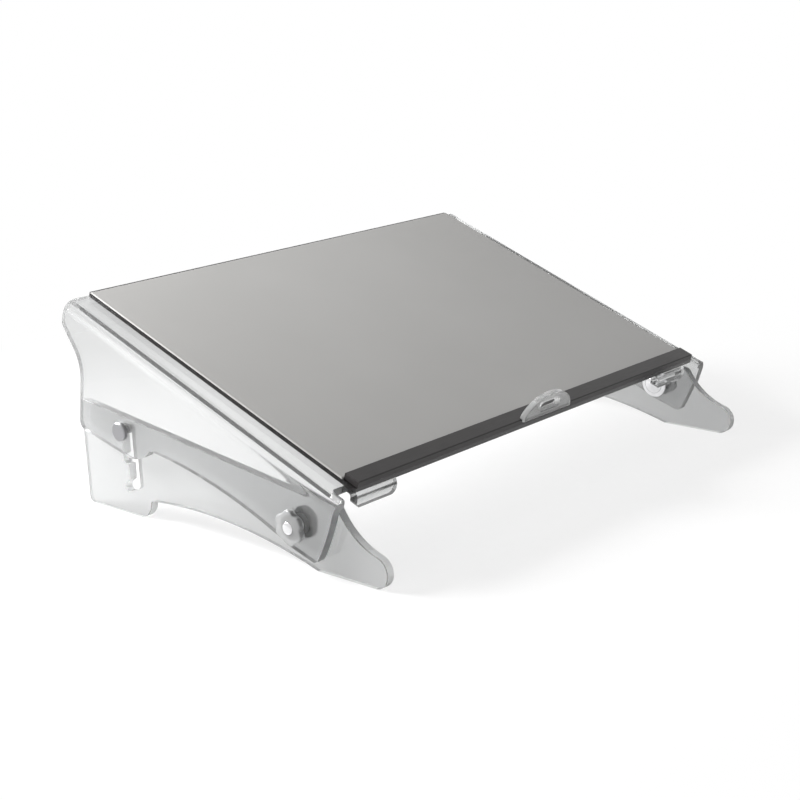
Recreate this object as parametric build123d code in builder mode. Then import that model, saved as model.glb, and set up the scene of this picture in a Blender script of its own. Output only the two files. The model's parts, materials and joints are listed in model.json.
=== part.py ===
"""Adjustable document holder with a sliding writing board.

A clear sheet, bent to an inverted U, is hung between two clear legs.  It tilts about a clamp
stud near the front of each leg, and a bolt near its rear runs in a stepped slot of the leg, so
that the slope stands at one of three heights.  The writing board lies on the sheet and slides
down the slope towards the user like a drawer.

Millimetres.  +X is across, +Y points away from the user and +Z up.  The origin is on the desk,
midway between the legs and midway between the toes and the rear edges of the legs.
The model stands in the highest of its three positions, with the board pushed in.
"""

import os
from math import atan2, cos, degrees, hypot, radians, sin

from build123d import *

os.makedirs("parts", exist_ok=True)

# --------------------------------------------------------------------------- driving dimensions
# writing board, measured in its own plane
board_width = 500.0
board_length = 350.0
core_thickness = 4.0
face_thickness = 1.0
face_bevel = 0.8
face_rear_margin = 2.0
ledge_depth = 16.0
ledge_height = 5.0
ledge_inset = 2.5
ledge_bevel = 0.8
board_corner = 1.5

# half-moon pull, standing in a pocket at the front of the ledge
grip_half_width = 34.5
grip_height = 22.0
grip_thickness = 6.0
grip_base_h = 3.0
grip_overhang = 3.0
grip_hole_length = 30.0
grip_hole_height = 9.0
grip_hole_level = 10.5
grip_bevel = 0.8

# what the board runs on
glide_thickness = 0.95
glide_gap = 0.05
glide_width = 30.0
glide_offset = 215.0
drawer_travel = 150.0
guide_offset = 170.0
guide_stud_radius = 4.75
guide_stud_spacing = 60.0
guide_stud_from_rear = 50.0
guide_side_gap = 0.25
guide_cap_radius = 11.0
guide_cap_thickness = 3.0
guide_cap_gap = 0.4
guide_screw_radius = 2.0
guide_screw_head_radius = 4.0
guide_screw_head_height = 2.6

# slope: the tilt at rest and the two steps down from it
top_tilt = 21.0
tilt_step = 7.0
positions = 3
slope_front_y = -148.0
slope_front_z = 76.0

# bent sheet
sheet_thickness = 8.0
sheet_margin = 25.0
sheet_bend_radius = 3.0
sheet_length = 352.0
lip_depth = 17.0
lip_width = 48.0
lip_offset = 219.0
lip_corner = 6.0
lip_bevel = 0.5
relief_length = 13.0
relief_radius = 3.0
panel_nose = 3.5
panel_brow = 3.0
panel_drop_front = 68.0
panel_drop_arch = 70.0
panel_drop_heel = 114.5
ear_drop = 29.0
ear_radius = 8.0
neck_inset = 34.0
neck_drop = 53.0
neck_radius = 40.0
heel_inset = 46.5
heel_radius = 8.0
heel_before_bolt = 19.0
step_run = 22.0
step_rise = 21.5
step_bow = (13.5, 9.0)
step_corner_radius = 5.0
arch_bow = 7.5
arch_front_set = 1.0
chin_s = 0.0
chin_radius = 6.0
nose_lift = 2.0

# legs
leg_length = 381.0
leg_thickness = 8.0
leg_gap = 4.5
leg_front_height = 61.5
leg_rear_height = 104.0
toe_radius = 14.0
shoulder_from_toe = 53.0
front_foot_end = 78.5
rear_foot_length = 74.0
foot_step_radius = 18.0
arch_height = 19.6
edge_bevel = 0.5
leg_rear_radius = 12.0
leg_heel_radius = 6.0
shoulder_radius = 7.0
arch_corner_radius = 3.0

# pivots and bolts, as (distance up the slope, depth below the board's surface)
pivot_s, pivot_h = 32.3, -50.0
rear_bolt_s, rear_bolt_h = 251.0, -87.0
bolt_radius = 4.0
running_gap = 0.08
collar_radius = 9.0
collar_gap = 0.1
washer_thickness = 1.5
washer_radius = 10.5

# height slot in each leg
channel_gap = 0.8
hook_run = 9.0
hook_drop_deg = 32.0
hook_radius = 4.6

# rear bolt
disc_radius = 8.75
disc_thickness = 4.0
disc_bevel = 1.0
bolt_tail = 1.0

# front knob, stud and dome nut
knob_radius = 15.5
knob_thickness = 6.0
knob_lobes = 6
knob_scallop_radius = 6.0
knob_scallop_centre = 19.5
knob_bevel = 1.2
stud_cap_radius = 5.5
stud_cap_seat = 3.0
stud_cap_rise = 1.5
dome_flange_radius = 14.0
dome_flange_thickness = 2.5
dome_height = 7.0
dome_radius = 10.0
dome_shoulder_height = 2.5
dome_shoulder_radius = 7.8
dome_tip_radius = 4.0
stud_end_gap = 1.5

# ------------------------------------------------------------------------------ derived places
board_thickness = core_thickness + face_thickness
sheet_top_h = -board_thickness - glide_thickness - glide_gap
sheet_under_h = sheet_top_h - sheet_thickness
sheet_half_width = board_width / 2 + sheet_margin
panel_inner = sheet_half_width - sheet_thickness
leg_outer = panel_inner - leg_gap
leg_inner = leg_outer - leg_thickness
bend_start = panel_inner - sheet_bend_radius - 1.0
outer_bend_radius = sheet_bend_radius + sheet_thickness
tilt = radians(top_tilt)
lowest_tilt = top_tilt - (positions - 1) * tilt_step


def on_slope(s, h):
    """World (y, z) of a point s up the slope and h above the board's surface."""
    return (slope_front_y + s * cos(tilt) - h * sin(tilt),
            slope_front_z + s * sin(tilt) + h * cos(tilt))


pivot_y, pivot_z = on_slope(pivot_s, pivot_h)
bolt_y, bolt_z = on_slope(rear_bolt_s, rear_bolt_h)
bolt_reach = hypot(bolt_y - pivot_y, bolt_z - pivot_z)
bolt_angle = degrees(atan2(bolt_z - pivot_z, bolt_y - pivot_y))


def bolt_place(step):
    """World (y, z) of the rear bolt, step notches below the highest."""
    angle = radians(bolt_angle - step * tilt_step)
    return (pivot_y + bolt_reach * cos(angle), pivot_z + bolt_reach * sin(angle))


slope_plane = Plane(
    origin=(0, slope_front_y, slope_front_z),
    x_dir=(1, 0, 0),
    z_dir=(0, -sin(tilt), cos(tilt)),
)
side_plane = Plane(origin=slope_plane.origin, x_dir=slope_plane.y_dir, z_dir=(1, 0, 0))
slope_face = Plane(origin=slope_plane.origin, x_dir=(1, 0, 0), z_dir=-slope_plane.y_dir)
bend_plane = Plane(
    origin=slope_plane.origin - slope_plane.y_dir * (panel_nose + 1),
    x_dir=(1, 0, 0),
    z_dir=-slope_plane.y_dir,
)
slope_up = Axis(slope_plane.origin, slope_plane.z_dir)
up_slope = Axis(slope_plane.origin, slope_plane.y_dir)
sides = (("left", -1), ("right", 1))


def axial_plane(side, y, z):
    """Plane through a cross axis: local x runs outward from the middle, local y is up."""
    return Plane(origin=(0, y, z), x_dir=(side, 0, 0), z_dir=(0, -side, 0))


def cross_axis(y, z):
    return Axis((0, y, z), (1, 0, 0))


def ring_profile(inner, outer, start, end):
    """Rectangle from start to end outward, between two radii."""
    with Locations(((start + end) / 2, (inner + outer) / 2)):
        Rectangle(end - start, outer - inner)


# ---------------------------------------------------------------------------------- bent sheet
# The U is the path of the sheet's middle layer, as wide as the sheet is thick.
centre_x = sheet_half_width - sheet_thickness / 2
centre_h = sheet_top_h - sheet_thickness / 2
panel_depth = panel_drop_heel + 10
side_reach = sheet_half_width + 1

# outline of a side panel, in slope coordinates
ear = (sheet_length, -ear_drop)
neck = (sheet_length - neck_inset, -neck_drop)
heel = (sheet_length - heel_inset, -panel_drop_heel)
heel_front_s = rear_bolt_s - heel_before_bolt
foot_front = (heel_front_s, heel[1] + (heel[0] - heel_front_s) * sin(radians(lowest_tilt)))
arch_rear = (foot_front[0] - step_run, foot_front[1] + step_rise)
step_middle = (foot_front[0] - step_bow[0], foot_front[1] + step_bow[1])
arch_front = (pivot_s - arch_front_set, -panel_drop_arch)
arch_middle = ((arch_front[0] + arch_rear[0]) / 2, (arch_front[1] + arch_rear[1]) / 2 + arch_bow)
chin = (chin_s, -panel_drop_front)
nose = (-panel_nose, -panel_drop_front / 2 + nose_lift)
brow = (-panel_brow, sheet_under_h + 1.0)
front_corner = (-panel_brow, sheet_top_h)

# the two lips are the front edge of the sheet, bent down
with BuildPart() as lips:
    with BuildSketch(side_plane.offset(-lip_offset - lip_width / 2)) as lip_profile:
        with BuildLine():
            FilletPolyline(
                (2 * sheet_thickness, sheet_top_h),
                (0, sheet_top_h),
                (0, sheet_top_h - lip_depth),
                (sheet_thickness, sheet_top_h - lip_depth),
                (sheet_thickness, sheet_under_h),
                (2 * sheet_thickness, sheet_under_h),
                radius=[outer_bend_radius, lip_bevel, lip_bevel, sheet_bend_radius],
            )
            Line((2 * sheet_thickness, sheet_under_h), (2 * sheet_thickness, sheet_top_h))
        make_face()
    extrude(amount=2 * lip_offset + lip_width)
    with BuildSketch(slope_face) as lip_fronts:
        for direction in (-1, 1):
            with Locations((direction * lip_offset, sheet_top_h - lip_depth / 2)):
                Rectangle(lip_width, lip_depth)
        fillet(lip_fronts.vertices().group_by(Axis.Y)[0], lip_corner)
    extrude(amount=-2 * sheet_thickness, mode=Mode.INTERSECT)

with BuildPart() as shell:
    with BuildSketch(bend_plane):
        with BuildLine():
            FilletPolyline(
                (-centre_x, -panel_depth),
                (-centre_x, centre_h),
                (centre_x, centre_h),
                (centre_x, -panel_depth),
                radius=sheet_bend_radius + sheet_thickness / 2,
            )
        trace(line_width=sheet_thickness)
    extrude(amount=-(sheet_length + panel_nose + 1))
    with BuildSketch(side_plane.offset(-side_reach)) as outline:
        with BuildLine():
            FilletPolyline(
                (sheet_length, sheet_top_h), ear, neck, heel, foot_front,
                radius=[ear_radius, neck_radius, heel_radius],
            )
            ThreePointArc(foot_front, step_middle, arch_rear)
            ThreePointArc(arch_rear, arch_middle, arch_front)
            Line(arch_front, chin)
            ThreePointArc(chin, nose, brow)
            Polyline(brow, front_corner, (sheet_length, sheet_top_h))
        make_face()
        fillet(outline.vertices().sort_by_distance(front_corner)[0], panel_brow)
        fillet(outline.vertices().sort_by_distance(chin)[0], chin_radius)
        fillet(outline.vertices().sort_by_distance(arch_rear)[0], step_corner_radius)
    extrude(amount=2 * side_reach, mode=Mode.INTERSECT)
    # front edge: set back between the bends, with the lips added to it
    with BuildSketch(slope_plane.offset(sheet_top_h + 1)) as front_cut:
        with Locations((0, (sheet_thickness - 2 * panel_nose) / 2)):
            Rectangle(2 * bend_start, sheet_thickness + 2 * panel_nose)
        # at the lips and between them and the bends the cut runs deeper
        lip_start = lip_offset - lip_width / 2
        relief_middle = (lip_start + bend_start) / 2
        with Locations((-relief_middle, 0), (relief_middle, 0)):
            Rectangle(bend_start - lip_start, 2 * relief_length)
        rear_corners = front_cut.vertices().group_by(Axis.Y)[-1].sort_by(Axis.X)
        fillet([rear_corners[0], rear_corners[-1]], relief_radius)
    extrude(amount=-(sheet_thickness + sheet_bend_radius + 1), mode=Mode.SUBTRACT)
    add(lips.part)
    # slots for the guide studs
    rear_stud_s = board_length - guide_stud_from_rear
    slot_radius = guide_stud_radius + guide_side_gap
    slot_length = guide_stud_spacing + drawer_travel + 2 * slot_radius
    slot_middle = rear_stud_s + slot_radius - slot_length / 2
    with BuildSketch(slope_plane.offset(sheet_top_h + 1)):
        with Locations((-guide_offset, slot_middle), (guide_offset, slot_middle)):
            SlotOverall(slot_length, 2 * slot_radius, rotation=90)
    extrude(amount=-(sheet_thickness + 2), mode=Mode.SUBTRACT)
    # pivot and rear bolt holes through both panels
    with BuildSketch(side_plane.offset(-side_reach)):
        with Locations((pivot_s, pivot_h), (rear_bolt_s, rear_bolt_h)):
            Circle(bolt_radius + running_gap)
    extrude(amount=2 * side_reach, mode=Mode.SUBTRACT)

shell.part.label = "shell"
export_step(shell.part, "parts/shell.step")

# ---------------------------------------------------------------------------------------- legs
toe_y = -leg_length / 2
heel_y = leg_length / 2
shoulder = (toe_y + shoulder_from_toe, leg_front_height)
toe_centre = (toe_y + toe_radius, toe_radius)
toe_top_angle = 105.0
toe_top = (toe_centre[0] + toe_radius * cos(radians(toe_top_angle)),
           toe_centre[1] + toe_radius * sin(radians(toe_top_angle)))
toe_tangent = (cos(radians(toe_top_angle - 90)), sin(radians(toe_top_angle - 90)))
front_foot_y = toe_y + front_foot_end
rear_foot_y = heel_y - rear_foot_length
arch_end = (rear_foot_y - foot_step_radius, foot_step_radius)
arch_top = ((front_foot_y + arch_end[0]) / 2, arch_height)

# the channel follows the bolt from the highest notch to the lowest
bolt_places = [bolt_place(step) for step in range(positions)]
channel_front = min(place[0] for place in bolt_places) - bolt_radius - channel_gap
channel_rear = pivot_y + bolt_reach + bolt_radius + channel_gap
channel_width = channel_rear - channel_front
channel_top = bolt_places[0][1] + hook_radius
channel_bottom = bolt_places[-1][1] - hook_radius

for name, direction in sides:
    inner_face = leg_inner if direction > 0 else -leg_outer
    with BuildPart() as leg:
        with BuildSketch(Plane.YZ.offset(inner_face)) as leg_outline:
            with BuildLine():
                Line((toe_centre[0], 0), (front_foot_y, 0))
                ThreePointArc((front_foot_y, 0), arch_top, arch_end)
                RadiusArc(arch_end, (rear_foot_y, 0), -foot_step_radius)
                Line((rear_foot_y, 0), (heel_y, 0))
                Line((heel_y, 0), (heel_y, leg_rear_height))
                Line((heel_y, leg_rear_height), shoulder)
                TangentArc(toe_top, shoulder, tangent=toe_tangent)
                ThreePointArc(toe_top, (toe_y, toe_radius), (toe_centre[0], 0))
            make_face()
            fillet(leg_outline.vertices().sort_by_distance((heel_y, leg_rear_height))[0], leg_rear_radius)
            fillet(leg_outline.vertices().sort_by_distance((heel_y, 0))[0], leg_heel_radius)
            fillet(leg_outline.vertices().sort_by_distance(shoulder)[0], shoulder_radius)
            fillet(leg_outline.vertices().sort_by_distance(arch_end)[0], arch_corner_radius)
        extrude(amount=leg_thickness)
        chamfer(leg.faces().filter_by(Axis.X).edges(), edge_bevel)
        # stepped slot: a straight channel with a hook running down and back at each height
        with BuildSketch(Plane.YZ.offset(inner_face)):
            with Locations(((channel_front + channel_rear) / 2, (channel_top + channel_bottom) / 2)):
                RectangleRounded(channel_width, channel_top - channel_bottom, hook_radius - 0.1)
            for place in bolt_places:
                hook_end = (place[0] + hook_run * cos(radians(hook_drop_deg)),
                            place[1] - hook_run * sin(radians(hook_drop_deg)))
                with Locations(((place[0] + hook_end[0]) / 2, (place[1] + hook_end[1]) / 2)):
                    SlotCenterToCenter(hook_run, 2 * hook_radius, rotation=-hook_drop_deg)
        extrude(amount=leg_thickness, mode=Mode.SUBTRACT)
        with BuildSketch(Plane.YZ.offset(inner_face)):
            with Locations((pivot_y, pivot_z)):
                Circle(bolt_radius + running_gap)
        extrude(amount=leg_thickness, mode=Mode.SUBTRACT)
    leg.part.label = f"{name}_leg"
    export_step(leg.part, f"parts/{name}_leg.step")

# -------------------------------------------------------------------------------- front pivots
knob_seat = sheet_half_width + washer_thickness
knob_face = knob_seat + knob_thickness
stud_tip = leg_inner - dome_height + stud_end_gap + dome_flange_thickness / 2
stud_hole_end = stud_tip - stud_end_gap
cap_base = knob_face - stud_cap_seat
cap_top = knob_face + stud_cap_rise
dome_root = leg_inner - dome_flange_thickness
dome_tip = leg_inner - dome_height
bore_radius = bolt_radius + running_gap

for name, direction in sides:
    plane = axial_plane(direction, pivot_y, pivot_z)
    axis = cross_axis(pivot_y, pivot_z)

    with BuildPart() as knob:
        with BuildSketch(Plane(origin=(direction * knob_seat, pivot_y, pivot_z),
                               x_dir=(0, 1, 0), z_dir=(direction, 0, 0))):
            Circle(knob_radius)
            with PolarLocations(knob_scallop_centre, knob_lobes):
                Circle(knob_scallop_radius, mode=Mode.SUBTRACT)
        extrude(amount=knob_thickness)
        chamfer(knob.faces().sort_by(Axis.X)[-1 if direction > 0 else 0].edges(), knob_bevel)
        with BuildSketch(plane):
            ring_profile(0, bore_radius, knob_seat, knob_face)
            ring_profile(0, stud_cap_radius + running_gap, knob_face - stud_cap_seat, knob_face + 1)
        revolve(axis=axis, mode=Mode.SUBTRACT)
    knob.part.label = f"{name}_front_knob"
    export_step(knob.part, f"parts/{name}_front_knob.step")

    with BuildPart() as stud:
        with BuildSketch(plane):
            ring_profile(0, bolt_radius, stud_tip, knob_face - stud_cap_seat)
            with BuildLine():
                Polyline(
                    (cap_base, 0),
                    (cap_base, stud_cap_radius),
                    (knob_face, stud_cap_radius),
                    (cap_top, stud_cap_radius / 2),
                    (cap_top, 0),
                    close=True,
                )
            make_face()
        revolve(axis=axis)
    stud.part.label = f"{name}_clamp_stud"
    export_step(stud.part, f"parts/{name}_clamp_stud.step")

    with BuildPart() as knob_washer:
        with BuildSketch(plane):
            ring_profile(bore_radius, washer_radius, sheet_half_width, knob_seat)
        revolve(axis=axis)
    knob_washer.part.label = f"{name}_knob_washer"
    export_step(knob_washer.part, f"parts/{name}_knob_washer.step")

    with BuildPart() as pivot_spacer:
        with BuildSketch(plane):
            ring_profile(bore_radius, collar_radius, leg_outer, panel_inner - collar_gap)
        revolve(axis=axis)
    pivot_spacer.part.label = f"{name}_pivot_spacer"
    export_step(pivot_spacer.part, f"parts/{name}_pivot_spacer.step")

    with BuildPart() as dome_nut:
        with BuildSketch(plane):
            ring_profile(0, dome_flange_radius, leg_inner - dome_flange_thickness, leg_inner)
            with BuildLine():
                Polyline(
                    (dome_root, 0),
                    (dome_root, dome_radius),
                    (dome_root - dome_shoulder_height, dome_shoulder_radius),
                    (dome_tip, dome_tip_radius),
                    (dome_tip, 0),
                    close=True,
                )
            make_face()
            with Locations(((stud_hole_end + leg_inner) / 2, bore_radius / 2)):
                Rectangle(leg_inner - stud_hole_end, bore_radius, mode=Mode.SUBTRACT)
        revolve(axis=axis)
    dome_nut.part.label = f"{name}_dome_nut"
    export_step(dome_nut.part, f"parts/{name}_dome_nut.step")

# ---------------------------------------------------------------------------------- rear bolts
bolt_end = leg_inner - bolt_tail
disc_face = sheet_half_width + disc_thickness

for name, direction in sides:
    with BuildPart() as rear_bolt:
        with BuildSketch(axial_plane(direction, bolt_y, bolt_z)):
            with BuildLine():
                Polyline(
                    (bolt_end, 0),
                    (bolt_end, bolt_radius),
                    (sheet_half_width, bolt_radius),
                    (sheet_half_width, disc_radius),
                    (disc_face - disc_bevel, disc_radius),
                    (disc_face, disc_radius - disc_bevel),
                    (disc_face, 0),
                    close=True,
                )
            make_face()
        revolve(axis=cross_axis(bolt_y, bolt_z))
    rear_bolt.part.label = f"{name}_rear_bolt"
    export_step(rear_bolt.part, f"parts/{name}_rear_bolt.step")

# ------------------------------------------------------------------------------- writing board
with BuildPart() as writing_board:
    with BuildSketch(slope_plane.offset(-board_thickness)):
        with Locations((0, board_length / 2)):
            RectangleRounded(board_width, board_length, board_corner)
    extrude(amount=core_thickness)
    # blind holes for the guide studs
    with BuildSketch(slope_plane.offset(-board_thickness)):
        with Locations((0, rear_stud_s - guide_stud_spacing / 2)):
            with GridLocations(2 * guide_offset, guide_stud_spacing, 2, 2):
                Circle(guide_stud_radius)
    extrude(amount=core_thickness / 2, mode=Mode.SUBTRACT)
writing_board.part.label = "writing_board"
export_step(writing_board.part, "parts/writing_board.step")

with BuildPart() as board_face:
    with BuildSketch(slope_plane.offset(-face_thickness)):
        with Locations((0, (ledge_depth + board_length - face_rear_margin) / 2)):
            Rectangle(board_width, board_length - face_rear_margin - ledge_depth)
    extrude(amount=face_thickness)
    chamfer(board_face.faces().sort_by(slope_up)[-1].edges(), face_bevel)
board_face.part.label = "board_face"
export_step(board_face.part, "parts/board_face.step")

# the ledge lies on the core in front of the face, a little short of it at each end
with BuildPart() as ledge_strip:
    with BuildSketch(slope_plane.offset(-face_thickness)):
        with Locations((0, ledge_depth / 2)):
            Rectangle(board_width - 2 * ledge_inset, ledge_depth)
    extrude(amount=face_thickness + ledge_height)
    chamfer(ledge_strip.faces().sort_by(slope_up)[-1].edges(), ledge_bevel)
    # pocket for the half-moon pull
    with BuildSketch(slope_plane.offset(grip_base_h)):
        with Locations((0, grip_thickness / 2 - grip_overhang)):
            Rectangle(2 * grip_half_width, grip_thickness)
    extrude(amount=ledge_height, mode=Mode.SUBTRACT)
ledge_strip.part.label = "ledge_strip"
export_step(ledge_strip.part, "parts/ledge_strip.step")

grip_plane = Plane(
    origin=slope_plane.origin + slope_plane.y_dir * (grip_thickness - grip_overhang),
    x_dir=(1, 0, 0),
    z_dir=-slope_plane.y_dir,
)
with BuildPart() as grip_tab:
    with BuildSketch(grip_plane):
        with BuildLine():
            Line((-grip_half_width, grip_base_h), (grip_half_width, grip_base_h))
            EllipticalCenterArc(
                (0, grip_base_h), grip_half_width, grip_height, start_angle=0, arc_size=180
            )
        make_face()
        with Locations((0, grip_base_h + grip_hole_level)):
            SlotOverall(grip_hole_length, grip_hole_height, mode=Mode.SUBTRACT)
    extrude(amount=grip_thickness)
    chamfer(grip_tab.faces().sort_by(up_slope)[0].edges(), grip_bevel)
grip_tab.part.label = "grip_tab"
export_step(grip_tab.part, "parts/grip_tab.step")

# ------------------------------------------------------------------------------- board running
for name, direction in sides:
    with BuildPart() as glide_strip:
        with BuildSketch(slope_plane.offset(sheet_top_h + glide_gap)):
            with Locations((direction * glide_offset, board_length / 2)):
                Rectangle(glide_width, board_length)
        extrude(amount=glide_thickness)
    glide_strip.part.label = f"{name}_glide_strip"
    export_step(glide_strip.part, f"parts/{name}_glide_strip.step")

stud_base_h = sheet_under_h - guide_cap_gap
stud_top_h = -board_thickness + core_thickness / 2
stud_grid = (0, rear_stud_s - guide_stud_spacing / 2)

with BuildPart() as guide_studs:
    with BuildSketch(slope_plane.offset(stud_base_h)):
        with Locations(stud_grid):
            with GridLocations(2 * guide_offset, guide_stud_spacing, 2, 2):
                Circle(guide_stud_radius)
                Circle(guide_screw_radius, mode=Mode.SUBTRACT)
    extrude(amount=stud_top_h - stud_base_h)
guide_studs.part.label = "guide_studs"
export_step(guide_studs.part, "parts/guide_studs.step")

with BuildPart() as guide_caps:
    with BuildSketch(slope_plane.offset(stud_base_h - guide_cap_thickness)):
        with Locations(stud_grid):
            with GridLocations(2 * guide_offset, guide_stud_spacing, 2, 2):
                Circle(guide_cap_radius)
                Circle(guide_screw_radius, mode=Mode.SUBTRACT)
    extrude(amount=guide_cap_thickness)
guide_caps.part.label = "guide_caps"
export_step(guide_caps.part, "parts/guide_caps.step")

with BuildPart() as guide_screws:
    with BuildSketch(slope_plane.offset(stud_base_h - guide_cap_thickness)):
        with Locations(stud_grid):
            with GridLocations(2 * guide_offset, guide_stud_spacing, 2, 2):
                Circle(guide_screw_radius)
    extrude(amount=guide_cap_thickness + stud_top_h - stud_base_h)
    with BuildSketch(slope_plane.offset(stud_base_h - guide_cap_thickness)):
        with Locations(stud_grid):
            with GridLocations(2 * guide_offset, guide_stud_spacing, 2, 2):
                Circle(guide_screw_head_radius)
    extrude(amount=-guide_screw_head_height)
guide_screws.part.label = "guide_screws"
export_step(guide_screws.part, "parts/guide_screws.step")

print("highest tilt", top_tilt, "lowest tilt", lowest_tilt)
print("pivot at y %.2f z %.2f" % (pivot_y, pivot_z))
print("rear bolt at y %.2f z %.2f, %.2f from the pivot" % (bolt_y, bolt_z, bolt_reach))
print("height slot from y %.2f to %.2f" % (channel_front, channel_rear))
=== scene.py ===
# %% [markdown]
# # A clear document holder with a sliding writing board
#
# The real object is a sheet of clear acrylic, heat-bent to an inverted U, which stands over two
# clear legs with its side panels outside them.  A grey satin board with a dark ledge lies on it
# and slides out like a drawer.
# The solids come from the CAD model and are never touched here: this script dresses them, lights
# them and stands a camera where the photographer stood.

import json
import math

import bmesh
import bpy
from mathutils import Matrix, Vector


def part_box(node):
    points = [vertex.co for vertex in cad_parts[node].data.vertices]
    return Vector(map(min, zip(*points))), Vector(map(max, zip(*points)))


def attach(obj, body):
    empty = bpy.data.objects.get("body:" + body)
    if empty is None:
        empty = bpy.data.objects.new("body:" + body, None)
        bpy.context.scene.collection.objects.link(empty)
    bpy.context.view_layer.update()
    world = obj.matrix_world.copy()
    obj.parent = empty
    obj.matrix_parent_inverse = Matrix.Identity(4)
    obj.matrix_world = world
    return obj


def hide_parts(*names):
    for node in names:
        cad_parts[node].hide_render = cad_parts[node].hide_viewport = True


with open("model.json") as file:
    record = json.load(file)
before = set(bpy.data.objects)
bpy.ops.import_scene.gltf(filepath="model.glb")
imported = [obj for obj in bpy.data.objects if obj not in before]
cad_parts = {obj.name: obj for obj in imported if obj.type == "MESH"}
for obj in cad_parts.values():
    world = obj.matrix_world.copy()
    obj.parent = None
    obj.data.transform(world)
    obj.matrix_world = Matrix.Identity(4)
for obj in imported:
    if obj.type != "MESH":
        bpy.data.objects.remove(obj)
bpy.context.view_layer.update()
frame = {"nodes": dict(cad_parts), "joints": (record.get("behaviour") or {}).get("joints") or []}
nodes = frame["nodes"]
joints = {joint["name"]: joint for joint in frame["joints"]}

# %% [markdown]
# ## The camera
#
# The photograph was taken from the front left, a little above the slope, with a long lens.  The
# board's four corners and the ends of the ledge fix where the camera stood.  Its three turns are
# written one after the other: round the vertical, tipped down, and a small lean to one side.

# %% The camera
camera_data = bpy.data.cameras.new("camera")
camera_data.lens = 73.1
camera_data.sensor_width = 36.0
camera = bpy.data.objects.new("camera", camera_data)
bpy.context.scene.collection.objects.link(camera)
camera.matrix_world = (
    Matrix.Translation((-1.1341, -1.0125, 0.4941))
    @ Matrix.Rotation(math.radians(-47.429), 4, "Z")
    @ Matrix.Rotation(math.radians(90 - 15.651), 4, "X")
    @ Matrix.Rotation(math.radians(-2.425), 4, "Z")
)
bpy.context.scene.camera = camera
bpy.context.scene.view_settings.view_transform = "Standard"

# %% [markdown]
# ## Building materials from nodes
#
# Every finish here is a small graph of nodes, and a few helpers keep the graphs readable.  The
# first adds a node with its settings.  The second starts a material that already has a Principled
# shader and the object's own coordinates, in metres, which stay with a piece when it moves.

# %% Helpers for node graphs
def add_node(tree, kind, **settings):
    """A new node, with its input sockets and properties set by name."""
    node = tree.nodes.new(kind)
    for name, value in settings.items():
        if name in node.inputs:
            node.inputs[name].default_value = value
        else:
            setattr(node, name, value)
    return node


def start_material(name, **shader_settings):
    """A material with a Principled shader: returns it, its tree, the shader and the coordinates."""
    material = bpy.data.materials.new(name)
    material.use_nodes = True
    tree = material.node_tree
    shader = tree.nodes["Principled BSDF"]
    for socket, value in shader_settings.items():
        shader.inputs[socket.replace("_", " ")].default_value = value
    place = tree.nodes.new("ShaderNodeTexCoord").outputs["Object"]
    return material, tree, shader, place


def noise(tree, place, scale, detail=3.0, stretch=(1, 1, 1)):
    """Cloudy noise; stretch below 1 draws it out along that axis."""
    mapping = add_node(tree, "ShaderNodeMapping", Scale=stretch)
    tree.links.new(place, mapping.inputs["Vector"])
    texture = add_node(tree, "ShaderNodeTexNoise", Scale=scale, Detail=detail)
    tree.links.new(mapping.outputs["Vector"], texture.inputs["Vector"])
    return texture.outputs["Fac"]


def spread(tree, value, low, high):
    """Turns a noise value of about 0.3 to 0.7 into a range from low to high."""
    mapped = tree.nodes.new("ShaderNodeMapRange")
    for socket, number in (("From Min", 0.3), ("From Max", 0.7), ("To Min", low), ("To Max", high)):
        mapped.inputs[socket].default_value = number
    tree.links.new(value, mapped.inputs["Value"])
    return mapped.outputs["Result"]


def blend_colours(tree, value, first, second):
    """A colour between two, by a value."""
    ramp = tree.nodes.new("ShaderNodeValToRGB")
    ramp.color_ramp.elements[0].position = 0.35
    ramp.color_ramp.elements[1].position = 0.65
    ramp.color_ramp.elements[0].color = (*first, 1)
    ramp.color_ramp.elements[1].color = (*second, 1)
    tree.links.new(value, ramp.inputs["Fac"])
    return ramp.outputs["Color"]


def bump(tree, shader, height, strength, distance):
    """Raises the surface by a height value."""
    node = add_node(tree, "ShaderNodeBump", Strength=strength, Distance=distance)
    tree.links.new(height, node.inputs["Height"])
    tree.links.new(node.outputs["Normal"], shader.inputs["Normal"])


def dress(material, *names):
    """Gives a material to CAD pieces by name."""
    for name in names:
        for slot in nodes[name].material_slots:
            slot.material = material
    print(material.name, "on", ", ".join(names))


def both(name):
    """The left and the right piece of a pair."""
    return (f"left_{name}", f"right_{name}")

# %% [markdown]
# ## Clear acrylic
#
# Acrylic bends light with an index of 1.49 and is polished on its faces.  A sheet of it is never
# quite flat: heat leaves slow waves near the bends, and wiping leaves hair-fine scratches.  The
# waves are a faint bump and the scratches a small change of roughness.  The sheet's slight grey
# is set as the transmission colour, so that it gets darker where two sheets lie behind each other,
# and a share of plain scattering stands for haze: small in the sheet, larger in knobs and grip.
#
# The cut edges are scraped, not polished, so they are matt.  Their pale colour is painted light:
# it stands for the light that a clear sheet carries inside itself out to its edges.  An edge is
# found by its normal: a flat side plate's edges are the faces that don't look along X.  On the bent
# sheet they are the faces that look up or down the slope, further out than the lips.  That takes in
# the front and rear rims of the side panels, while their lower rims stay as clear as the sheet.

# %% Which faces are cut edges
def arithmetic(tree, operation, *values):
    """A Math node; a value is a socket or a number."""
    node = add_node(tree, "ShaderNodeMath", operation=operation)
    for socket, value in zip(node.inputs, values):
        if isinstance(value, bpy.types.NodeSocket):
            tree.links.new(value, socket)
        else:
            socket.default_value = value
    return node.outputs[0]


def size_along(tree, vector, direction):
    """How far a vector reaches along a direction, without its sign."""
    product = add_node(tree, "ShaderNodeVectorMath", operation="DOT_PRODUCT")
    tree.links.new(vector, product.inputs[0])
    product.inputs[1].default_value = direction
    return arithmetic(tree, "ABSOLUTE", product.outputs["Value"])


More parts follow.
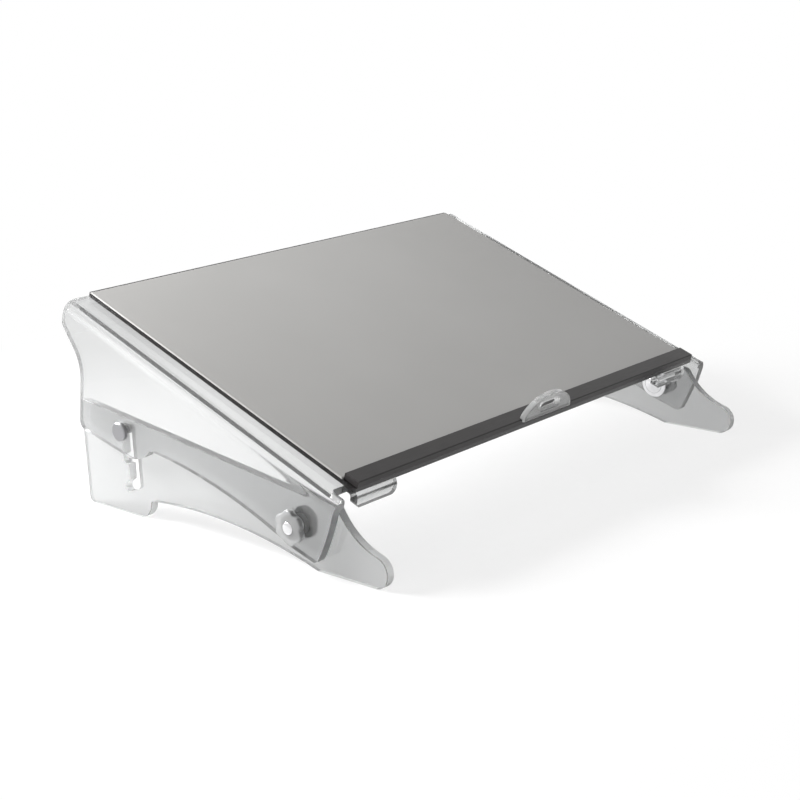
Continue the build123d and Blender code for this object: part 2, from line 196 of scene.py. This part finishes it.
def plate_edges(tree):
    """1 on the edges of a plate that stands across X, 0 on its two faces."""
    facing = tree.nodes.new("ShaderNodeTexCoord").outputs["Normal"]
    return arithmetic(tree, "LESS_THAN", size_along(tree, facing, (1, 0, 0)), 0.5)


def bent_sheet_edges(tree):
    """1 on the bent sheet's front and rear edges, further out than the lips."""
    slope = math.radians(21.0)
    outside_the_lips = 0.250
    coordinates = tree.nodes.new("ShaderNodeTexCoord")
    facing = coordinates.outputs["Normal"]
    up_the_slope = size_along(tree, facing, (0, math.cos(slope), math.sin(slope)))
    across = size_along(tree, coordinates.outputs["Object"], (1, 0, 0))
    beside_the_lips = arithmetic(tree, "GREATER_THAN", across, outside_the_lips)
    front_or_rear = arithmetic(tree, "GREATER_THAN", up_the_slope, 0.5)
    return arithmetic(tree, "MULTIPLY", front_or_rear, beside_the_lips)


def mix_colours(tree, factor, first, second):
    """The first colour at factor 0 and the second at 1; the Mix node's colour sockets by number."""
    factor_socket, first_socket, second_socket, result_socket = 0, 6, 7, 2
    node = add_node(tree, "ShaderNodeMix", data_type="RGBA")
    tree.links.new(factor, node.inputs[factor_socket])
    tree.links.new(first, node.inputs[first_socket])
    node.inputs[second_socket].default_value = second
    return node.outputs[result_socket]


# %% Clear acrylic
# The pale edge colour is painted light, for the light carried inside the sheet out to its edges.
painted_edge_light_colour = (0.93, 0.935, 0.935, 1)
edge_roughness = 0.45


def clear_acrylic(name, tone, clarity, waviness, roughness, edges=None):
    """Tinted acrylic; clarity is the share of light that passes, edges finds its cut edges."""
    material, tree, shader, place = start_material(name, Transmission_Weight=clarity, IOR=1.49)
    cloud = noise(tree, place, 9.0)
    light_tone = tuple(min(1.0, c + 0.015) for c in tone)
    colour = blend_colours(tree, cloud, tone, light_tone)
    scratches = noise(tree, place, 260.0, detail=5.0, stretch=(1, 0.05, 1))
    matt = spread(tree, scratches, roughness, roughness * 3)
    if edges:
        edge = edges(tree)
        # Painted light: the cut edges get a pale colour that stands for light carried inside the
        # sheet to them.
        colour = mix_colours(tree, edge, colour, painted_edge_light_colour)
        scraped = arithmetic(tree, "MULTIPLY", edge, edge_roughness)
        matt = arithmetic(tree, "ADD", matt, scraped)
    tree.links.new(colour, shader.inputs["Base Color"])
    tree.links.new(matt, shader.inputs["Roughness"])
    bump(tree, shader, noise(tree, place, 14.0, detail=1.0), waviness, 0.002)
    return material


shell_acrylic = clear_acrylic("bent_sheet_acrylic", (0.68, 0.685, 0.685), 0.93, 0.02, 0.008,
                              bent_sheet_edges)
leg_acrylic = clear_acrylic("leg_acrylic", (0.58, 0.585, 0.585), 0.82, 0.02, 0.010, plate_edges)
knob_acrylic = clear_acrylic("knob_acrylic", (0.62, 0.625, 0.625), 0.65, 0.03, 0.03)
grip_acrylic = clear_acrylic("grip_acrylic", (0.70, 0.705, 0.70), 0.70, 0.03, 0.03)
dress(shell_acrylic, "shell")
dress(leg_acrylic, *both("leg"))
dress(grip_acrylic, "grip_tab")

# %% [markdown]
# ## The writing board
#
# Its face is a satin grey laminate.  Satin comes from a grain too fine to see singly, which
# spreads a highlight; close up it is a bump of some tenths of a millimetre.  The core under it
# and the ledge are nearly black plastic.  The core is the smoother one, the ledge is rubbed dull.

# %% Board finishes
def satin_laminate():
    """The grey face: a fine grain sets its roughness and its bump."""
    material, tree, shader, place = start_material(
        "satin_grey_laminate", IOR=1.5, Specular_IOR_Level=0.3)
    patches = noise(tree, place, 5.0)
    tree.links.new(blend_colours(tree, patches, (0.370, 0.365, 0.356), (0.390, 0.385, 0.376)),
                   shader.inputs["Base Color"])
    grain = noise(tree, place, 2600.0, detail=2.0)
    tree.links.new(spread(tree, grain, 0.34, 0.44), shader.inputs["Roughness"])
    bump(tree, shader, grain, 0.15, 0.0002)
    return material


def dark_plastic(name, tone, low, high, shine=0.5):
    """Dark plastic, rubbed along X; its roughness runs from low to high."""
    material, tree, shader, place = start_material(name, IOR=1.5, Specular_IOR_Level=shine)
    shade = noise(tree, place, 40.0)
    lighter = tuple(c * 1.25 for c in tone)
    tree.links.new(blend_colours(tree, shade, tone, lighter), shader.inputs["Base Color"])
    rubbing = noise(tree, place, 700.0, detail=4.0, stretch=(0.1, 1, 1))
    tree.links.new(spread(tree, rubbing, low, high), shader.inputs["Roughness"])
    bump(tree, shader, rubbing, 0.1, 0.0001)
    return material


face_laminate = satin_laminate()
core_plastic = dark_plastic("board_core_plastic", (0.012, 0.011, 0.011), 0.18, 0.28)
ledge_plastic = dark_plastic("ledge_plastic", (0.024, 0.022, 0.022), 0.28, 0.40, shine=0.25)
dress(face_laminate, "board_face")
dress(core_plastic, "writing_board")
dress(ledge_plastic, "ledge_strip")

# %% [markdown]
# ## Metal
#
# Chrome shows nothing but what stands round it, so it only needs a mirror finish and a few soft
# dents.  Turned steel has rings round its axis from the lathe.  The rings are a wave pattern that
# is centred on the bolt with a Mapping node.

# %% Metal finishes
def chrome():
    """Polished metal with a thin, uneven film."""
    material, tree, shader, place = start_material("polished_chrome", Metallic=1.0)
    film = noise(tree, place, 120.0)
    tree.links.new(blend_colours(tree, film, (0.72, 0.72, 0.73), (0.80, 0.80, 0.81)),
                   shader.inputs["Base Color"])
    tree.links.new(spread(tree, film, 0.03, 0.08), shader.inputs["Roughness"])
    bump(tree, shader, noise(tree, place, 300.0, detail=1.0), 0.05, 0.0003)
    return material


def turned_steel(name, axis_place):
    """Steel with the lathe's rings round an axis along X."""
    material, tree, shader, place = start_material(name, Metallic=1.0)
    centred = add_node(tree, "ShaderNodeMapping", Location=[-c for c in axis_place])
    tree.links.new(place, centred.inputs["Vector"])
    flatten = add_node(tree, "ShaderNodeMapping", Scale=(0, 1, 1))
    tree.links.new(centred.outputs["Vector"], flatten.inputs["Vector"])
    rings = add_node(tree, "ShaderNodeTexWave", Scale=700.0, Distortion=0.6, wave_type="RINGS",
                     rings_direction="SPHERICAL")
    tree.links.new(flatten.outputs["Vector"], rings.inputs["Vector"])
    tree.links.new(blend_colours(tree, rings.outputs["Fac"], (0.30, 0.30, 0.31), (0.38, 0.38, 0.39)),
                   shader.inputs["Base Color"])
    tree.links.new(spread(tree, rings.outputs["Fac"], 0.26, 0.36), shader.inputs["Roughness"])
    bump(tree, shader, rings.outputs["Fac"], 0.12, 0.0001)
    return material


def brushed_steel(name):
    """Steel brushed along X."""
    material, tree, shader, place = start_material(name, Metallic=1.0)
    brushing = noise(tree, place, 900.0, detail=4.0, stretch=(0.1, 1, 1))
    tree.links.new(blend_colours(tree, brushing, (0.50, 0.50, 0.51), (0.60, 0.60, 0.61)),
                   shader.inputs["Base Color"])
    tree.links.new(spread(tree, brushing, 0.24, 0.36), shader.inputs["Roughness"])
    bump(tree, shader, brushing, 0.1, 0.0001)
    return material


bolt_low, bolt_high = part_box("left_rear_bolt")
bolt_centre = [(low + high) / 2 for low, high in zip(bolt_low, bolt_high)]
chrome_finish = chrome()
bolt_steel = turned_steel("turned_steel", (0.0, bolt_centre[1], bolt_centre[2]))
dress(bolt_steel, *both("rear_bolt"))
dress(brushed_steel("brushed_steel"), "guide_screws")

# %% [markdown]
# ## Small plastic pieces
#
# The washers and spacers at the pivots are clear nylon, which is a little milky.  The glide
# strips, guide studs and caps are white nylon, with a faint mottled skin from the mould.  One
# helper makes both: only the share of light that passes and the two colours differ.

# %% Nylon finishes
def nylon(name, first, second, transmission):
    """Moulded nylon, mottled between two colours; transmission is the share of light that passes."""
    material, tree, shader, place = start_material(
        name, Transmission_Weight=transmission, IOR=1.53)
    mottle = noise(tree, place, 350.0)
    tree.links.new(blend_colours(tree, mottle, first, second), shader.inputs["Base Color"])
    tree.links.new(spread(tree, mottle, 0.32, 0.48), shader.inputs["Roughness"])
    bump(tree, shader, mottle, 0.08, 0.0002)
    return material


clear_nylon = nylon("clear_nylon", (0.84, 0.84, 0.83), (0.88, 0.88, 0.87), 0.7)
white_nylon = nylon("white_nylon", (0.70, 0.70, 0.68), (0.76, 0.76, 0.74), 0.0)
dress(clear_nylon, *both("knob_washer"), *both("pivot_spacer"))
dress(white_nylon, *both("glide_strip"), "guide_studs", "guide_caps")

# %% [markdown]
# ## The front pivots
#
# At each front pivot a hand knob of clear plastic sits on a chrome stud, and a chrome dome nut
# closes the stud inside the leg.  The CAD pieces have the right size with few facets.  Here they
# get their smooth forms.  Whatever was turned on a lathe is a profile spun about the pivot's axis,
# and the knob is six rings of points joined one to the next, with its rims bevelled round.

# %% Turned pieces
pivot = joints["shell_tilt"]["pos_m"]


def finish_piece(mesh_work, name, body, node, material):
    """Closes a bmesh and makes it a piece that stands for a CAD node."""
    bmesh.ops.remove_doubles(mesh_work, verts=mesh_work.verts, dist=1e-6)
    bmesh.ops.recalc_face_normals(mesh_work, faces=mesh_work.faces)
    mesh = bpy.data.meshes.new(name)
    mesh_work.to_mesh(mesh)
    mesh_work.free()
    mesh.shade_smooth()
    mesh.set_sharp_from_angle(angle=math.radians(35))
    mesh.materials.append(material)
    piece = bpy.data.objects.new(name, mesh)
    bpy.context.scene.collection.objects.link(piece)
    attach(piece, body)
    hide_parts(node)
    low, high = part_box(node)
    print(name, "faces:", len(mesh.polygons), "CAD width mm:", round(1000 * (high[0] - low[0]), 2))
    return piece


def turned(profile, steps=64):
    """A bmesh of a profile of (x, radius) points, spun once about the pivot's axis."""
    work = bmesh.new()
    points = [work.verts.new((x, pivot[1] + radius, pivot[2])) for x, radius in profile]
    edges = [work.edges.new(pair) for pair in zip(points, points[1:])]
    bmesh.ops.spin(work, geom=points + edges, cent=pivot, axis=(1, 0, 0), angle=2 * math.pi,
                   steps=steps, use_merge=True)
    return work


def dome(base_x, height, radius, direction, steps=9):
    """Points of a quarter ellipse from its rim to its tip."""
    turns = [math.pi / 2 * step / steps for step in range(steps + 1)]
    return [(base_x + direction * height * math.sin(turn), radius * math.cos(turn))
            for turn in turns]


def ends(node, outward):
    """The x of a CAD piece's inner and outer end, seen from the middle, and its largest radius."""
    low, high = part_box(node)
    inner, outer = (high[0], low[0]) if outward < 0 else (low[0], high[0])
    return inner, outer, (high[2] - low[2]) / 2


bolt_radius = 0.0040
bore_radius = 0.00408
rim_bevel = 0.0005

# %% Dome nuts
flange_thickness = 0.0025
dome_radius = 0.0100
bore_depth = 0.00575
for side, outward in (("left", -1), ("right", 1)):
    tip, seat, flange_radius = ends(f"{side}_dome_nut", outward)
    flange = seat - outward * flange_thickness
    bore_end = seat - outward * bore_depth
    nut_profile = [(bore_end, 0.0), (bore_end, bore_radius), (seat, bore_radius),
                   (seat, flange_radius - rim_bevel), (seat - outward * rim_bevel, flange_radius),
                   (flange + outward * rim_bevel, flange_radius),
                   (flange, flange_radius - rim_bevel)]
    nut_profile += dome(flange, abs(flange - tip), dome_radius, -outward)
    finish_piece(turned(nut_profile), f"{side}_smooth_dome_nut", "legs", f"{side}_dome_nut",
                 chrome_finish)

# %% Clamp studs
cap_seat = 0.0030
cap_rise = 0.0015
for side, outward in (("left", -1), ("right", 1)):
    inner, tip, cap_radius = ends(f"{side}_clamp_stud", outward)
    rim = tip - outward * cap_rise
    under = rim - outward * cap_seat
    stud_profile = [(inner, 0.0), (inner, bolt_radius - rim_bevel),
                    (inner + outward * rim_bevel, bolt_radius),
                    (under, bolt_radius), (under, cap_radius)]
    stud_profile += dome(rim, cap_rise, cap_radius, outward)
    finish_piece(turned(stud_profile), f"{side}_smooth_clamp_stud", f"{side}_front_knob",
                 f"{side}_clamp_stud", chrome_finish)

# %% Knobs
knob_lobes = 6
lobe_depth = 0.0020
knob_rounding = 0.0014
seat_radius = 0.00558


def ring(work, x, radius, depth=0.0, points=96):
    """The edges of a circle about the pivot's axis, drawn in between its lobes."""
    first_edge = len(work.edges)
    circle = bmesh.ops.create_circle(work, cap_ends=False, radius=radius, segments=points)
    for vert in circle["verts"]:
        angle = math.atan2(vert.co.y, vert.co.x)
        vert.co *= 1 - depth / radius * (0.5 - 0.5 * math.cos(knob_lobes * angle)) ** 2
    bmesh.ops.transform(
        work, verts=circle["verts"],
        matrix=Matrix.Translation((x, pivot[1], pivot[2])) @ Matrix.Rotation(math.pi / 2, 4, "Y"))
    work.edges.ensure_lookup_table()
    return work.edges[first_edge:]


for side, outward in (("left", -1), ("right", 1)):
    back, face, knob_radius = ends(f"{side}_front_knob", outward)
    seat = face - outward * cap_seat
    work = bmesh.new()
    rings = [ring(work, face, knob_radius, lobe_depth), ring(work, back, knob_radius, lobe_depth),
             ring(work, back, bore_radius), ring(work, seat, bore_radius),
             ring(work, seat, seat_radius), ring(work, face, seat_radius)]
    for first, second in zip(rings, rings[1:] + rings[:1]):
        bmesh.ops.bridge_loops(work, edges=first + second)
    bmesh.ops.bevel(work, geom=rings[0] + rings[1], offset=knob_rounding, offset_type="OFFSET",
                    affect="EDGES", segments=4, profile=0.5, material=-1)
    finish_piece(work, f"{side}_smooth_front_knob", f"{side}_front_knob", f"{side}_front_knob",
                 knob_acrylic)

# %% [markdown]
# ## Floor, light and air
#
# The floor is a wide pale disc, and the background behind it is white.  A floor lit only by lamps
# turns grey where it is far away and shows a horizon.  So what the camera, a reflection or a clear
# sheet sees of it is mixed with plain white, more so further out, while light that bounces off it
# still meets ordinary paper.  The object's shadow stays, and is light.

# %% What is seen and what gives light
def seen_directly(tree):
    """1 for the camera, for reflections and through clear sheets, and 0 for bounced light."""
    path = tree.nodes.new("ShaderNodeLightPath")
    first = add_node(tree, "ShaderNodeMath", operation="MAXIMUM")
    second = add_node(tree, "ShaderNodeMath", operation="MAXIMUM")
    tree.links.new(path.outputs["Is Camera Ray"], first.inputs[0])
    tree.links.new(path.outputs["Is Glossy Ray"], first.inputs[1])
    tree.links.new(first.outputs[0], second.inputs[0])
    tree.links.new(path.outputs["Is Transmission Ray"], second.inputs[1])
    return second.outputs[0]


# %% Floor
floor_radius = 12.0
floor_mesh = bmesh.new()
bmesh.ops.create_circle(floor_mesh, cap_ends=True, radius=floor_radius, segments=96)
floor_data = bpy.data.meshes.new("floor")
floor_mesh.to_mesh(floor_data)
floor_mesh.free()
floor = bpy.data.objects.new("floor", floor_data)
bpy.context.scene.collection.objects.link(floor)
paper, paper_tree, paper_shader, paper_place = start_material("pale_paper", IOR=1.3)
paper_shader.inputs["Roughness"].default_value = 0.9
fibres = noise(paper_tree, paper_place, 60.0)
paper_tree.links.new(blend_colours(paper_tree, fibres, (0.93, 0.93, 0.93), (0.95, 0.95, 0.95)),
                     paper_shader.inputs["Base Color"])
floor_data.materials.append(paper)

# %% Floor fading to white
fade_start, fade_end = 0.3, 0.8
white_near, white_far = 0.78, 1.0
distance = add_node(paper_tree, "ShaderNodeVectorMath", operation="LENGTH")
paper_tree.links.new(paper_place, distance.inputs[0])
fade = paper_tree.nodes.new("ShaderNodeMapRange")
fade.interpolation_type = "SMOOTHSTEP"
for socket, value in (("From Min", fade_start), ("From Max", fade_end),
                      ("To Min", white_near), ("To Max", white_far)):
    fade.inputs[socket].default_value = value
paper_tree.links.new(distance.outputs["Value"], fade.inputs["Value"])
whiteness = add_node(paper_tree, "ShaderNodeMath", operation="MULTIPLY")
paper_tree.links.new(fade.outputs["Result"], whiteness.inputs[0])
paper_tree.links.new(seen_directly(paper_tree), whiteness.inputs[1])
plain_white = add_node(paper_tree, "ShaderNodeEmission", Color=(1, 1, 1, 1), Strength=1.0)
floor_mix = paper_tree.nodes.new("ShaderNodeMixShader")
paper_tree.links.new(whiteness.outputs[0], floor_mix.inputs["Fac"])
paper_tree.links.new(paper_shader.outputs["BSDF"], floor_mix.inputs[1])
paper_tree.links.new(plain_white.outputs["Emission"], floor_mix.inputs[2])
paper_tree.links.new(floor_mix.outputs["Shader"],
                     paper_tree.nodes["Material Output"].inputs["Surface"])

# %% World
soft_strength = 0.30
world = bpy.data.worlds.new("studio")
bpy.context.scene.world = world
world.use_nodes = True
air = world.node_tree
soft_light = air.nodes["Background"]
soft_light.inputs["Color"].default_value = (1, 1, 1, 1)
soft_light.inputs["Strength"].default_value = soft_strength
white_air = add_node(air, "ShaderNodeBackground", Color=(1, 1, 1, 1), Strength=1.0)
choose = air.nodes.new("ShaderNodeMixShader")
air.links.new(seen_directly(air), choose.inputs["Fac"])
air.links.new(soft_light.outputs["Background"], choose.inputs[1])
air.links.new(white_air.outputs["Background"], choose.inputs[2])
air.links.new(choose.outputs["Shader"], air.nodes["World Output"].inputs["Surface"])

# %% [markdown]
# ## Lamps
#
# One small softbox stands behind the left corner.  It is near, so its light falls off across the
# board, which is bright at the left rear and darker at the right front, as in the photograph.  A
# large weak one overhead fills the shadows.

# %% Lamps
def softbox(name, place, target, size, watts):
    """A rectangular lamp that faces a point."""
    lamp = bpy.data.lights.new(name, "AREA")
    lamp.shape = "RECTANGLE"
    lamp.size, lamp.size_y = size
    lamp.energy = watts
    holder = bpy.data.objects.new(name, lamp)
    holder.location = place
    aim = Vector(target) - Vector(place)
    holder.rotation_euler = aim.to_track_quat("-Z", "Y").to_euler()
    bpy.context.scene.collection.objects.link(holder)
    return holder


softbox("rear_softbox", (-0.62, 0.92, 0.74), (-0.15, 0.1, 0.15), (0.6, 0.45), 46)
softbox("overhead_softbox", (0.2, 0.4, 2.4), (0, 0, 0.1), (2.0, 1.6), 6)
